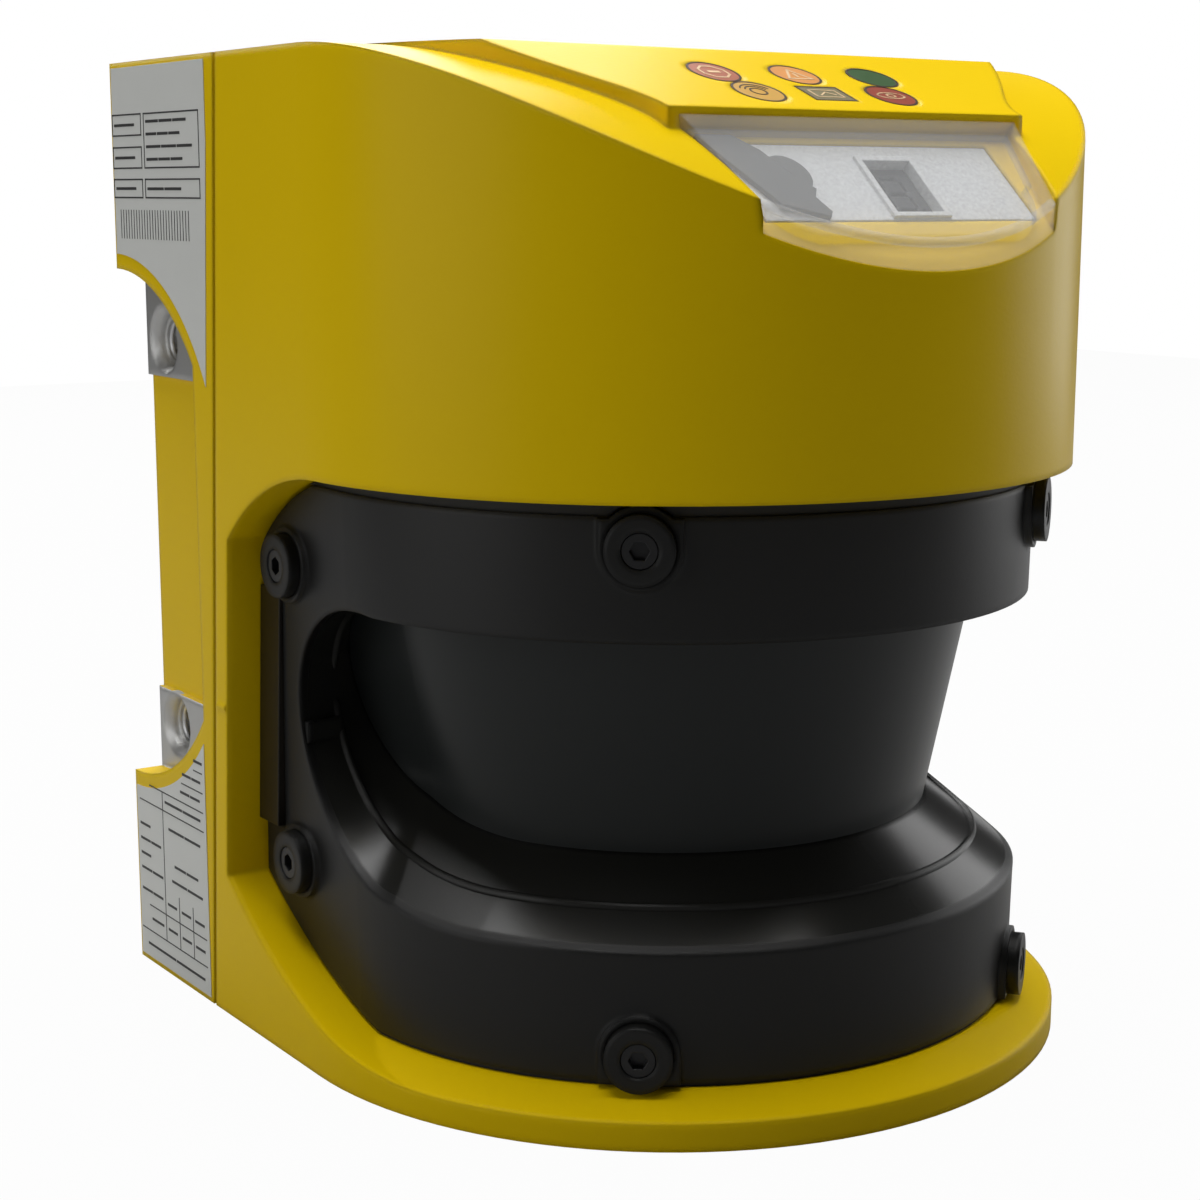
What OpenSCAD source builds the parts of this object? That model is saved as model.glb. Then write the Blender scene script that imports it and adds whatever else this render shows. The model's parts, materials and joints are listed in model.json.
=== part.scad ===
// Safety laser scanner. Two light-alloy castings (sensor head and rear
// connection module), a black optics cover with a conical window, and a
// spinning mirror with its transmit and receive optics inside.

/* [Overall] */
// overall width across the two side faces
overall_w = 155; // [125:1:190]
// overall height from the foot to the flat top
overall_h = 185; // [150:1:230]
// head: centre of the front arc back to the parting plane, at the foot
head_rear = 45.1; // [40:0.1:60]
// depth of the rear connection module, at the foot
module_d = 37.4; // [34:0.1:60]
// forward lean of the parting plane over the height
seam_lean = 12.2; // [0:0.1:14]

/* [Sensor head] */
// height of the lower edge of the hood
hood_z = 110.5; // [100:0.5:125]
// height of the outer edge of the foot
foot_edge = 5; // [3:0.5:8]
// height of the foot inside the rim
foot_top = 8; // [6:0.5:10]
// wall thickness of the castings
cast_wall = 5; // [3.5:0.5:7]
// radius of the roll-off from the flat top to the front
roll_r = 110; // [90:1:140]
// start of the roll-off, from the arc centre
roll_start = 0.5; // [-5:0.5:8]
// back of the optics chamber, from the arc centre
leg_back = 30.5; // [28:0.5:32]
// width of the leg beside the opening, ahead of the parting plane
leg_w = 5.2; // [4.5:0.1:6]
// radius of the arch over the opening
arch_r = 51; // [45:1:60]
// start of the arch, ahead of the arc centre
arch_start = 2.5; // [0:0.5:6]
// radius of the rise of the foot beside the opening
foot_r = 115; // [105:1:130]
// start of the rise of the foot, ahead of the arc centre
ramp_start = 32; // [28:0.5:36]

/* [Display] */
// slope of the display
disp_slope = 42; // [35:0.1:50]
// rear edge of the display, ahead of the arc centre
disp_rear = 54.5; // [48:0.5:58]
// half width of the display at its rear edge
disp_half_rear = 37; // [30:0.5:40]
// half width of the display at its front edge
disp_half_front = 32; // [26:0.5:36]
// thickness of the clear display cover
disp_t = 3.4; // [2:0.1:4]
// depth of the display well
disp_well = 13; // [10:0.5:15]
// slope of the raised indicator panel, rise over run
panel_rise = 0.4; // [0.3:0.01:0.5]

/* [Optics cover] */
// gap from the outside of the castings to the collar
cover_inset = 6.9; // [6:0.1:9]
// draft of the cover over its height
cover_draft = 2; // [0:0.1:3]
// thickness of the cover wall
cover_wall = 3; // [2:0.1:4]
// height of the lower lip of the scoop
lip_z = 31.3; // [28:0.1:36]
// height of the underside of the collar
collar_z = 86.3; // [82:0.1:90]
// inset of the window surface at its foot, from the side face
win_in_foot = 26.2; // [24:0.1:28]
// inset of the window surface at its top, from the side face
win_in_top = 18; // [16:0.1:20]
// height of the foot of the window surface
win_z = 45; // [43:0.5:48]
// thickness of the window
win_t = 2.6; // [2:0.1:3.4]
// back of the side opening, from the arc centre
bite_back = 19.1; // [17:0.1:22]

/* [Cover screws] */
// angle of the front screws from straight ahead
screw_ang = 38.9; // [30:0.1:45]
// height of the upper front screws
screw_hi = 102.5; // [99:0.1:104]
// height of the lower front screws
screw_lo = 14; // [13:0.1:16]
// height of the upper side screws
side_hi = 91.8; // [88:0.1:94]
// height of the lower side screws
side_lo = 34.4; // [32:0.1:38]
// side screws behind the arc centre
side_y = 22.1; // [20:0.1:24]
// radius of the screw bushings
bush_r = 6; // [5:0.1:6.5]
// radius of the screw heads
head_r = 3; // [2.5:0.1:3.5]
// hexagon socket across flats
hex_af = 3; // [2:0.1:3.5]

/* [Mirror drive] */
// mirror axis ahead of the arc centre
axis_front = 10.5; // [8:0.5:12]
// height of the scan plane
scan_z = 63; // [60:0.5:66]
// radius of the mirror seen from above
mirror_r = 20; // [17:0.5:22]
// thickness of the mirror
mirror_t = 3; // [2:0.1:4]
// shaft radius
shaft_r = 3; // [2.5:0.1:4]
// running clearance of the shaft in its bearings
shaft_fit = 0.04; // [0.01:0.01:0.08]
// radius of the motor housing
motor_r = 22; // [20:0.5:24]

/* [Mounting] */
// radius of the threads in the mounting holes
thread_r = 4; // [3:0.5:5]
// depth of the mounting threads
thread_len = 9; // [8:0.5:10]
// point angle of the drill that cuts the thread holes
drill_point = 118; // [110:1:135]
// lower row of mounting holes
mount_lo = 51.2; // [48:0.1:60]
// upper row of mounting holes
mount_hi = 130.6; // [125:0.1:140]
// side mounting holes ahead of the rear face
mount_y = 8.5; // [8:0.1:12]
// rear mounting holes from the middle
mount_x = 53; // [50:0.5:56]
// depth of the recess in the side faces
side_recess = 7; // [5:0.5:8]
// height of the machined pads above the recess
pad_rise = 1; // [0.5:0.1:2]

/* [Hidden] */
$fn = 96;
R = overall_w / 2;
H = overall_h;
D = R + head_rear + module_d;
yc = -D / 2 + R;
yr = D / 2;
ax_y = yc - axis_front;
seam_a = atan(seam_lean / 185);
leg_y = yc + leg_back;
cr = R - cover_inset;
cr_lo = cr - cover_draft;
win_r_lo = R - win_in_foot;
win_r_hi = R - win_in_top;
scoop_in = cr - 0.4;
scoop_rise = (win_z - lip_z) / (scoop_in - win_r_lo);
scoop_a = atan(scoop_rise);
end_turn = 26.2;
end_sweep = 9.2;
end_half = asin(sin(scoop_a / 2) * cos(end_sweep)) + 0.25;
tip_x = (collar_z - lip_z) / scoop_rise - scoop_in;
tip_y = bite_back + 20.4;
ring_out = cr_lo - cover_wall - 0.5;
ring_in = ring_out - 5;
disp_z = H - 12.3;
drill_r = thread_r * 0.85;
disc_r = motor_r + 4;
recess_lo = mount_lo + 6.8;
recess_hi = mount_hi - 7.3;
pad_x = R - side_recess + pad_rise;
recess_r = 45;
arc_lo = recess_lo + 27.7;
arc_hi = recess_hi - 23.5;
seam_gap = 1;
rim_gap = 0.6;
disp_inset = 1.6;
disp_skin = 1.8;
led_r = 4.9;
led_t = 1.2;
corner_s = (R - 6 - disp_rear) / cos(disp_slope);
strip_w = 8;
board_z = hood_z + 12;
gasket_t = 0.8;

yellow = [0.93, 0.78, 0.02];
black = [0.04, 0.04, 0.045];
steel = [0.6, 0.6, 0.62];
green = [0.05, 0.3, 0.14];

// ---------- shared shapes ----------
module dplan(r, back) {
  intersection() {
    translate([0, yc]) circle(r = r);
    translate([-r - 1, yc - r - 1]) square([2 * r + 2, r + 2]);
  }
  translate([-r, yc]) square([2 * r, back]);
}
module dsolid(r, back, z0, z1) {
  translate([0, 0, z0]) linear_extrude(z1 - z0) dplan(r, back);
}
module dtaper(ra, rb, za, zb, back) {
  translate([0, yc, 0]) rotate([0, 0, 180]) rotate_extrude(angle = 180)
    polygon([[0, za], [ra, za], [rb, zb], [0, zb]]);
  translate([0, yc, 0]) rotate([-90, 0, 0]) linear_extrude(back)
    polygon([[-ra, -za], [ra, -za], [rb, -zb], [-rb, -zb]]);
}
module along_x(w) {
  rotate([90, 0, 90]) translate([0, 0, -w / 2]) linear_extrude(w) children();
}
module behind_seam(g) {
  translate([0, yc + head_rear + g, 0]) rotate([seam_a, 0, 0]) translate([-R - 50, 0, -60])
    cube([2 * R + 100, 200, H + 120]);
}
module ahead_of_seam(g) {
  translate([0, yc + head_rear + g, 0]) rotate([seam_a, 0, 0]) translate([-R - 50, -260, -60])
    cube([2 * R + 100, 260, H + 120]);
}
// side profile of the roll-off, lowered by g
module roll_profile(g) {
  translate([yc + roll_start, H - roll_r]) circle(r = roll_r - g, $fn = 240);
  translate([yc + roll_start + 2, -20]) square([150, H + 20 - g]);
  translate([-D / 2 - 20, -20]) square([D, H - 40]);
}
// side profile of the optics opening, made smaller by g, with its level floor at a height
function leg_line(z) = yc + head_rear - leg_w - z * tan(seam_a);
module opening_profile(g, foot) {
  front = [-D / 2 - 40, 0];
  intersection() {
    polygon([[-D / 2 - 30, foot + g], [leg_line(foot + g) - g, foot + g],
      [leg_line(hood_z - g) - g, hood_z - g], [-D / 2 - 30, hood_z - g]]);
    union() {
      translate(front) square([D / 2 + 40 + yc - ramp_start, H]);
      translate([yc - ramp_start, foot_edge + foot_r]) circle(r = foot_r - g);
    }
    union() {
      translate(front) square([D / 2 + 40 + yc - arch_start, H]);
      translate(front) square([2 * D, hood_z - arch_r]);
      translate([yc - arch_start, hood_z - arch_r]) circle(r = arch_r - g);
    }
  }
}
// half space under the display surface, lowered by d
module below_display(d) {
  translate([0, yc - disp_rear, disp_z]) rotate([disp_slope, 0, 0]) translate([-R - 20, -120, -200 - d])
    cube([2 * R + 40, 260, 200]);
}
// outline of the display in its own plane, drawn down the slope from the rear edge
module display_plan(g) {
  w = disp_half_rear - g;
  v = disp_half_front - g;
  polygon([[-w, -g], [w, -g], [v, -corner_s], [v, -60], [-v, -60], [-v, -corner_s]]);
}
module on_display(x, s, d) {
  translate([x, yc - disp_rear, disp_z]) rotate([disp_slope, 0, 0]) translate([0, -s, -d]) children();
}
module on_panel(x, s) {
  translate([x, yc - disp_rear + s * cos(atan(panel_rise)), H - 11.2 + s * sin(atan(panel_rise))])
    rotate([atan(panel_rise), 0, 0]) children();
}
module ring(ro, ri, h) {
  difference() {
    cylinder(r = ro, h = h);
    translate([0, 0, -1]) cylinder(r = ri, h = h + 2);
  }
}
module both() {
  children();
  mirror([1, 0, 0]) children();
}
// runs the child at the eight cover screws, +Z outward, origin on the collar wall
module at_cover_screws() {
  for (s = [-1, 1]) {
    for (z = [screw_lo, screw_hi])
      translate([s * cr_at(z) * sin(screw_ang), yc - cr_at(z) * cos(screw_ang), z])
        rotate([90, 0, s * screw_ang]) children();
    for (z = [side_lo, side_hi])
      translate([s * cr_at(z), yc + side_y, z]) rotate([0, s * 90, 0]) children();
  }
}
function cr_at(z) = cr_lo + cover_draft * (z - foot_top) / (hood_z - foot_top);

// ---------- castings ----------
// edge of the raised panel in plan, flaring from the lip to the flat top
function panel_edge(t) = pow(1 - t, 3) * [39, -disp_rear] + 3 * pow(1 - t, 2) * t * [39, -44]
  + 3 * (1 - t) * t * t * [60, -36] + t * t * t * [67, 1];
function flip(p) = [-p[0], p[1]];
module panel_solid() {
  intersection() {
    translate([0, yc, H - 40]) linear_extrude(60)
      polygon(concat([for (i = [0 : 14]) panel_edge(i / 14)], [for (i = [14 : -1 : 0]) flip(panel_edge(i / 14))]));
    translate([0, yc - disp_rear, H - 11.2]) rotate([atan(panel_rise), 0, 0]) translate([-R, -20, -60])
      cube([2 * R, 120, 60]);
    translate([-R, -D, 0]) cube([2 * R, 2 * D, H]);
    dsolid(R, 60, H - 60, H);
  }
}
module head_outer() {
  intersection() {
    dsolid(R, 70, 0, H);
    along_x(2 * R + 4) roll_profile(0);
    ahead_of_seam(0);
  }
  panel_solid();
}
// sloped rim round the front of the foot
module foot_rim() {
  dtaper(R, cr_lo + rim_gap, foot_edge - 0.01, foot_top, 10);
}
module head_cavity() {
  intersection() {
    dsolid(R - cast_wall, 70, hood_z + 3.5, H);
    along_x(2 * R + 4) roll_profile(cast_wall);
    ahead_of_seam(-4);
    below_display(disp_well + 3);
  }
}
module head_casting() {
  color(yellow) difference() {
    union() {
      difference() {
        head_outer();
        difference() {
          along_x(2 * R + 10) opening_profile(0, foot_edge);
          dsolid(cr_lo + rim_gap, 10, 0, foot_top);
          // rear wall of the optics chamber
          translate([-ring_out, leg_y, 0]) cube([2 * ring_out, 30, H]);
        }
        head_cavity();
        // throat between the optics chamber and the hood
        dsolid(ring_in, 22, hood_z - 6, hood_z + 5);
        // display rebate and well
        on_display(0, 0, disp_t) linear_extrude(30) display_plan(0);
        on_display(-30, 22, disp_well) cube([60, 19, 20]);
        // wiring slot from the display well
        on_display(-20, 8, disp_well + 12) cube([40, 4, 20]);
      }
      foot_rim();
      // screw rings inside the cover
      difference() {
        union() {
          dsolid(ring_out, 28, foot_top - 1, screw_lo + 6);
          dsolid(ring_out, 28, screw_hi - 6, hood_z + 1);
        }
        dsolid(ring_in, 60, foot_top, hood_z + 2);
      }
      // bosses for the side screws
      both() for (z = [side_lo, side_hi])
        translate([ring_in + 0.3, yc + side_y - 6, z - 6])
          cube([ring_out - ring_in - 0.3, leg_back - side_y + 7, 12]);
      // screw bosses for the rear module
      both() translate([R - 13, yc + head_rear - 26, H - 18]) cube([9, 14, 14]);
      // scan plane marks on the side faces
      both() translate([R - 0.8, leg_line(scan_z) + 0.7, scan_z - 0.5]) rotate([-90, 0, 0])
        cylinder(r = 1.1, h = leg_w - 1.5);
    }
    behind_seam(0);
    // level floor inside the foot
    dsolid(ring_in, leg_back - 3, foot_top, foot_top + 18);
    // screw holes
    at_cover_screws() translate([0, 0, -11.5]) cylinder(r = 1.9, h = 13);
    both() for (z = [12, H - 12]) translate([R - 7, yc + head_rear - (z > 40 ? 26 : 12), z]) rotate([-90, 0, 0])
      cylinder(r = 2.5, h = 40);
    // opening for the connector in the rear wall
    translate([-24, leg_y - 10, hood_z + 16]) cube([48, 40, 18]);
    // holes for the light guides
    for (p = led_spots) on_panel(p[0], p[1]) translate([0, 0, -16]) cylinder(r = 2, h = 20);
    for (i = [0 : 5]) on_panel(led_spots[i][0], led_spots[i][1]) translate([0, 0, -led_t]) led_shape(i, 0.1, 3);
    // motor screws
    for (a = [45, 135, 225, 315]) translate([0, ax_y, 3]) rotate([0, 0, a]) translate([motor_r - 3, 0, 0])
      cylinder(r = 1.5, h = 8);
  }
}
led_spots = [[-17.7, 17.8], [0, 17.8], [17.7, 17.8], [-14.7, 8.4], [0, 8.4], [14.7, 8.4]];
module led_shape(i, g, h) {
  if (i == 4) translate([-4.6 - g, -3.4 - g, 0]) cube([9.2 + 2 * g, 6.8 + 2 * g, h]);
  else cylinder(r = led_r + g, h = h);
}

module side_pockets(x0, x1) {
  // recess between the pads and the scooped pockets round the pads
  both() translate([x0, 0, 0]) rotate([90, 0, 90]) linear_extrude(x1 - x0) {
    translate([yr - 35.5, recess_lo - 0.1]) square([60, recess_hi - recess_lo + 0.2]);
    intersection() {
      translate([yr, arc_hi]) circle(r = recess_r);
      translate([yr - 35.5, recess_hi]) square([60, 40]);
    }
    intersection() {
      translate([yr, arc_lo]) circle(r = recess_r);
      translate([yr - 35.5, recess_lo - 40]) square([60, 40]);
    }
  }
}
// blind thread from the face at 0, with its drill point, and h above the face
module thread_hole(h) {
  translate([0, 0, -thread_len]) cylinder(r = thread_r, h = thread_len + h);
  translate([0, 0, -thread_len - drill_r / tan(drill_point / 2)])
    cylinder(r1 = 0, r2 = drill_r, h = drill_r / tan(drill_point / 2));
}
module io_housing() {
  color(yellow) difference() {
    union() {
      difference() {
        translate([-R, -D / 2, 0]) cube([2 * R, D, H]);
        side_pockets(R - side_recess, R + 2);
        // main cavity, open to the parting plane
        translate([-R + 18, -D / 2, cast_wall]) cube([2 * R - 36, D - cast_wall, H - 2 * cast_wall]);
      }
      // pads round the side holes
      intersection() {
        side_pockets(R - side_recess - 0.1, pad_x);
        union() {
          translate([-R, yr - 35.6, 0]) cube([2 * R, 35.6, recess_lo]);
          translate([-R, yr - 35.6, recess_hi]) cube([2 * R, 35.6, 60]);
        }
      }
      // bosses behind the rear holes
      both() for (z = [mount_lo, mount_hi]) translate([mount_x, yr - 13, z]) rotate([-90, 0, 0])
        cylinder(r = 7.5, h = 10);
      // walls of the plug recess
      translate([-38, yr - 25, 0]) cube([76, 24, 124]);
      // bosses for the board
      both() for (z = [14, H - 14]) translate([R - 24, yr - 26, z]) rotate([-90, 0, 0]) cylinder(r = 4, h = 24);
    }
    ahead_of_seam(seam_gap);
    // plug recess, open to the foot for the cables
    translate([-35, yr - 21, 38]) cube([70, 30, 82]);
    translate([-22, yr - 21, -1]) cube([44, 30, 60]);
    // window for the plug header
    translate([-20, yr - 30, 86]) cube([40, 20, 16]);
    // side and rear mounting threads
    both() for (z = [mount_lo, mount_hi]) translate([pad_x, yr - mount_y, z]) rotate([0, 90, 0]) {
      thread_hole(3);
      translate([0, 0, -2.4]) cylinder(r = thread_r + 1.1, h = 4);
      translate([0, 0, -1.6]) cylinder(r1 = thread_r + 1.1, r2 = thread_r + 3.1, h = 2);
    }
    both() for (z = [mount_lo, mount_hi]) translate([mount_x, yr, z]) rotate([-90, 0, 0]) thread_hole(1);
    // counterbored holes for the module screws
    both() for (z = [12, H - 12]) translate([R - 7, yr - 20, z]) rotate([-90, 0, 0]) {
      cylinder(r = 5, h = 30);
      translate([0, 0, -40]) cylinder(r = 2.75, h = 60);
    }
    // board and plug screw holes
    both() for (z = [14, H - 14]) translate([R - 24, yr - 27, z]) rotate([-90, 0, 0]) cylinder(r = 1.25, h = 10);
    both() for (z = [78, 114]) translate([31, yr - 24.5, z]) rotate([-90, 0, 0]) cylinder(r = 1.5, h = 5);
  }
}
module seam_gasket() {
  color(black) intersection() {
    difference() {
      translate([-R + 1.2, -D / 2, 1.2]) cube([2 * R - 2.4, D, H - 2.4]);
      translate([-R + 4.6, -D, 4.6]) cube([2 * R - 9.2, 2 * D, H - 9.2]);
    }
    behind_seam(0);
    ahead_of_seam(seam_gap);
  }
}
module module_screws() {
  color(steel) both() for (z = [12, H - 12]) translate([R - 7, yr - 20, z]) rotate([-90, 0, 0]) difference() {
    union() {
      cylinder(r = 4.25, h = 5);
      translate([0, 0, z > 40 ? -36 : -26]) cylinder(r = 2.5, h = 38);
    }
    translate([0, 0, 2.4]) cylinder(r = 4 / sqrt(3), h = 4, $fn = 6);
  }
}

// ---------- optics cover ----------
module cover_body(g) {
  intersection() {
    dtaper(cr_lo - g, cr - g, foot_top, hood_z, leg_back + 12);
    along_x(2 * R) opening_profile(gasket_t + g, foot_top);
    translate([-R, -D, foot_top]) cube([2 * R, 2 * D, hood_z - foot_top - 2.8 - g]);
  }
}
// section of the wedge between the scoop floor and the collar, grown by g
function wedge_section(g) = [[18, lip_z + (scoop_in - 18) * scoop_rise - g / cos(scoop_a)],
  [R + 20, lip_z - (R + 20 - scoop_in) * scoop_rise - g / cos(scoop_a)], [R + 20, collar_z + g], [18, collar_z + g]];
// frame of one side of the opening: X outward along the end of the revolved front, Y rearwards
module side_frame(m) {
  mirror([m, 0, 0]) translate([0, yc, 0]) rotate([0, 0, -end_turn]) children();
}
// frame at the wedge's tip, tilted along the middle of the wedge and swept forwards by an angle
module tip_frame(sweep) {
  translate([-tip_x, tip_y, collar_z]) rotate([0, scoop_a / 2, 0]) rotate([0, 0, -sweep]) children();
}
// the wedge: revolved in front, then flat, then closed by a cone that touches floor and collar
module wedge_region(g) {
  translate([0, yc, 0]) rotate([0, 0, 180 + end_turn]) rotate_extrude(angle = 180 - 2 * end_turn)
    polygon(wedge_section(g));
  for (m = [0, 1]) side_frame(m) {
    intersection() {
      rotate([-90, 0, 0]) linear_extrude(90) polygon([for (q = wedge_section(g)) [q[0], -q[1]]]);
      tip_frame(end_sweep + 1) translate([-50, -200, -200]) cube([300, 200, 400]);
    }
    tip_frame(end_sweep) rotate([0, 90, 0]) translate([0, 0, -g / sin(end_half)])
      cylinder(r1 = 0, r2 = 140 * tan(end_half), h = 140);
  }
}
module window_solid(g, z0, z1, back) {
  m = (win_r_hi - win_r_lo) / (collar_z - win_z);
  dtaper(win_r_lo + (z0 - win_z) * m - g, win_r_lo + (z1 - win_z) * m - g, z0, z1, back);
}
module optics_cover() {
  color(black) difference() {
    union() {
      difference() {
        cover_body(0);
        wedge_region(0);
      }
      // raised pads round the front screws
      difference() {
        union() {
          for (s = [-1, 1]) for (z = [screw_lo, screw_hi])
            translate([s * cr_at(z) * sin(screw_ang), yc - cr_at(z) * cos(screw_ang), z])
              rotate([90, 0, s * screw_ang])
              translate([0, 0, -2]) {
                cylinder(r = bush_r + 1.2, h = 3);
                translate([-bush_r - 1.2, z > 50 ? 0 : foot_top + 1 - z, 0])
                  cube([2 * bush_r + 2.4, z > 50 ? hood_z - 3 - z : z - foot_top - 1, 3]);
              }
          both() for (z = [side_lo, side_hi]) translate([cr_at(z) - 2, yc + side_y, z]) rotate([0, 90, 0])
            cylinder(r = bush_r + 1.2, h = 3);
        }
        dsolid(cr_lo - 1, 60, 0, H);
      }
    }
    // hollow inside, leaving the skin of the scoop
    difference() {
      intersection() {
        dtaper(cr_lo - cover_wall, cr - cover_wall, foot_top, hood_z, leg_back + 14);
        translate([-R, -D, foot_top]) cube([2 * R, 2 * D, hood_z]);
      }
      wedge_region(cover_wall - 0.4);
    }
    window_solid(0, 30, 98, leg_back + 5);
    translate([-R, -D, -1]) cube([2 * R, 2 * D, foot_top + gasket_t + 1]);
    // seats of the bushings and their holes
    at_cover_screws() translate([0, 0, -6]) cylinder(r = 3.4, h = 14);
    at_cover_screws() translate([0, 0, 0]) cylinder(r = bush_r + 0.15, h = 14);
    // shallow channels for the side strips
    side_strip_box(0.2, 6, 3);
  }
}
module optics_window() {
  color([0.06, 0.06, 0.09]) difference() {
    window_solid(0, win_z - 3.5, collar_z + 3, leg_back - 4);
    window_solid(win_t, win_z - 4.5, collar_z + 4, leg_back + 5);
  }
}
module cover_gaskets() {
  color([0.03, 0.03, 0.03]) {
    difference() {
      intersection() {
        dsolid(cr - 0.7, leg_back - 5, hood_z - 2.8, hood_z);
        along_x(2 * R) opening_profile(0.05, foot_top);
      }
      dsolid(ring_out + 0.2, 70, 0, H);
      at_cover_screws() translate([0, 0, -8]) cylinder(r = bush_r + 1.5, h = 20);
    }
    difference() {
      intersection() {
        dsolid(cr_lo - 0.6, leg_back - 6, 0, foot_top + 20);
        along_x(2 * R) opening_profile(0, foot_top);
      }
      along_x(2 * R + 2) opening_profile(gasket_t, foot_top);
      dsolid(ring_out + 0.2, 70, 0, H);
    }
  }
}
module cover_bushings() {
  color(black) at_cover_screws() difference() {
    union() {
      cylinder(r = bush_r, h = 3.2);
      translate([0, 0, -3]) cylinder(r = 3.2, h = 3.1);
    }
    translate([0, 0, 1.2]) cylinder(r = head_r + 0.15, h = 3);
    translate([0, 0, -5]) cylinder(r = 1.9, h = 8);
  }
}
module cover_screws() {
  color([0.08, 0.08, 0.08]) at_cover_screws() difference() {
    union() {
      translate([0, 0, 1.2]) cylinder(r = head_r, h = 1.8);
      translate([0, 0, -8.5]) cylinder(r = 1.8, h = 10);
    }
    translate([0, 0, 1.4]) cylinder(r = hex_af / sqrt(3), h = 3, $fn = 6);
  }
}
// bar along the rear edge of the cover between the side screws, grown by g, for strip and channel
module side_strip_box(g, t, back) {
  intersection() {
    both() translate([cr_lo - 0.8, leg_line(0) - strip_w - 0.3 - g, 0]) rotate([seam_a, 0, 0])
      cube([t, strip_w + g + back, H]);
    translate([-R, -D, side_lo + bush_r - 0.6 - g])
      cube([2 * R, 2 * D, side_hi - side_lo - 2 * bush_r + 1.2 + 2 * g]);
  }
}
module side_strips() {
  color([0.05, 0.05, 0.05]) side_strip_box(0, cr - cr_lo + 0.9, 0);
}

// ---------- display and indicators ----------
module display_cover() {
  color([0.75, 0.77, 0.78, 0.5]) difference() {
    intersection() {
      on_display(0, 0, disp_t - 0.05) linear_extrude(disp_t - 0.05) display_plan(0.15);
      dsolid(R - 0.1, 20, H - 60, H + 10);
    }
    // hollow under the face, with round front corners
    on_display(0, 0, disp_t + 0.1) linear_extrude(disp_t + 0.1 - disp_skin) display_hollow(disp_inset);
  }
}
// flat outline of the hollow, drawn down the slope from the rear edge
module display_hollow(g) {
  w = disp_half_rear;
  v = disp_half_front;
  difference() {
    polygon([[-w + g, -g], [w - g, -g], [v - g, -23], [v - g - 7, -27], [-v + g + 7, -27], [-v + g, -23]]);
    for (m = [-1, 1]) translate([m * (v - 14), -12.4]) difference() {
      translate([m > 0 ? 0 : -20, -20]) square([20, 20]);
      translate([0, -2.6]) circle(r = 12.6);
      translate([m > 0 ? 0 : -20, -2.6]) square([20, 20]);
    }
  }
}
module display_shade() {
  color([0.25, 0.26, 0.27]) on_display(0, 0, disp_t) linear_extrude(0.9) union() {
    polygon([[-33.6, -2.1], [-26.3, -2.1], [-22.4, -5.6], [-18.6, -12], [-15.9, -15], [-17.2, -17], [-15.7, -20.4],
      [-16.6, -21.6], [-25.1, -18.7]]);
    translate([-19.6, -11.4]) circle(r = 4.4);
  }
}
module display_bezel() {
  color([0.62, 0.63, 0.64]) on_display(0, 0, disp_t + 2) difference() {
    union() {
      translate([-29.5, -21.6, 0]) cube([59, 18.2, 2]);
      translate([-2.6, -21.2, 1]) cube([12.8, 14.8, 1.6]);
    }
    translate([-1.4, -20.2, -1]) cube([10.4, 12.6, 5]);
  }
}
module digit_module() {
  color([0.09, 0.09, 0.1]) on_display(0, 0, disp_t + 7.9) difference() {
    translate([-1.2, -20, 0]) cube([10, 12.2, 6.6]);
    // the seven bars of the digit, sunk in the face
    for (y = [-17.8, -14, -10.2]) translate([1.9, y - 0.5, 6]) cube([3.8, 1, 2]);
    for (x = [1, 5.8]) for (y = [-17.2, -13.4]) translate([x - 0.3, y, 6]) cube([1, 2.6, 2]);
    translate([7.2, -18.2, 6]) cylinder(r = 0.55, h = 2, $fn = 24);
  }
}
module display_board() {
  color(green) on_display(-29, 21.4, disp_well - 0.1) difference() {
    cube([58, 17.8, 1.6]);
    for (x = [3, 55]) for (y = [3, 14.8]) translate([x, y, -1]) cylinder(r = 1.1, h = 4, $fn = 24);
  }
  color([0.1, 0.1, 0.1]) on_display(-24, 19, disp_well - 1.7) {
    cube([12, 10, 1.5]);
    translate([38, 1, 0]) cube([9, 6, 1.5]);
  }
}
module indicator_lenses() {
  for (i = [0 : 5]) color(led_colours[i]) on_panel(led_spots[i][0], led_spots[i][1]) translate([0, 0, -led_t])
    led_shape(i, 0, led_t);
}
led_colours = [[0.7, 0.15, 0.08], [0.85, 0.45, 0.05], [0.02, 0.3, 0.1], [0.85, 0.65, 0.05], [0.45, 0.47, 0.42],
  [0.7, 0.15, 0.1]];
module light_guides() {
  color([0.85, 0.87, 0.88]) for (p = led_spots) on_panel(p[0], p[1]) translate([0, 0, -9])
    cylinder(r = 1.9, h = 9 - led_t);
}

// ---------- labels ----------
module label_upper() {
  color([0.78, 0.79, 0.8]) translate([-R - 0.15, 0, 0]) rotate([90, 0, 90]) linear_extrude(0.15)
    intersection() {
      difference() {
        translate([yr - 44.6, recess_hi + 0.4]) square([44, H - recess_hi - 1.4]);
        translate([yr, arc_hi]) circle(r = recess_r + 3);
      }
      polygon([[yc + head_rear + 4 - 0.066 * 120, 120], [yr - 0.8, 120],
        [yr - 0.8, H - 1], [yc + head_rear + 4 - 0.066 * H, H - 1]]);
    }
}
module label_lower() {
  color([0.78, 0.79, 0.8]) translate([-R - 0.15, 0, 0]) rotate([90, 0, 90]) linear_extrude(0.15)
    intersection() {
      difference() {
        translate([yr - 44.6, 1]) square([44, recess_lo - 3]);
        translate([yr, arc_lo]) circle(r = recess_r + 3);
      }
      polygon([[yr - 35.4, 0.8], [yr - 0.8, 0.8], [yr - 0.8, 60], [yr - 35.4, 60]]);
    }
}

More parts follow.
